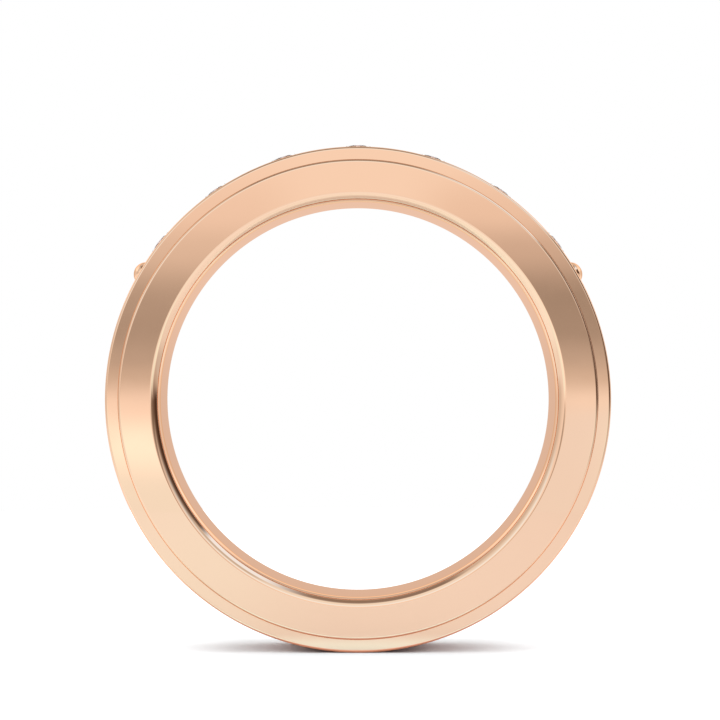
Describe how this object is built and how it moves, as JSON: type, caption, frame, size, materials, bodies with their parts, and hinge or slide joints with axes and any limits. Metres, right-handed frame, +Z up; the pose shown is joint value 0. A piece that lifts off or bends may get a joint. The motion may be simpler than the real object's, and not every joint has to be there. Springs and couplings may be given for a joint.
{
  "type": "wedding band",
  "caption": "Polished rose-gold comfort-fit band with a stepped flank, a row of flush-set round diamonds across the top and a gold bead at each end of the row.",
  "frame": {"origin": "the point where the ring stands: centred in X and Y, at its lowest point in Z", "axes": "+Y along the finger axis, away from the front flank; +Z up through the middle stone; +X to the right"},
  "size_m": [0.0222, 0.004, 0.0224],
  "materials": {
    "sleeve_gold": "polished",
    "band_gold": "polished",
    "bead_gold": "polished",
    "diamond": "polished"
  },
  "bodies": {
    "root": {"inner_sleeve": "sleeve_gold", "setting_band": "band_gold", "diamond_1": "diamond", "diamond_2": "diamond", "diamond_3": "diamond", "diamond_4": "diamond", "diamond_5": "diamond", "diamond_6": "diamond", "diamond_7": "diamond", "end_bead_left": "bead_gold", "end_bead_right": "bead_gold"}
  },
  "joints": []
}
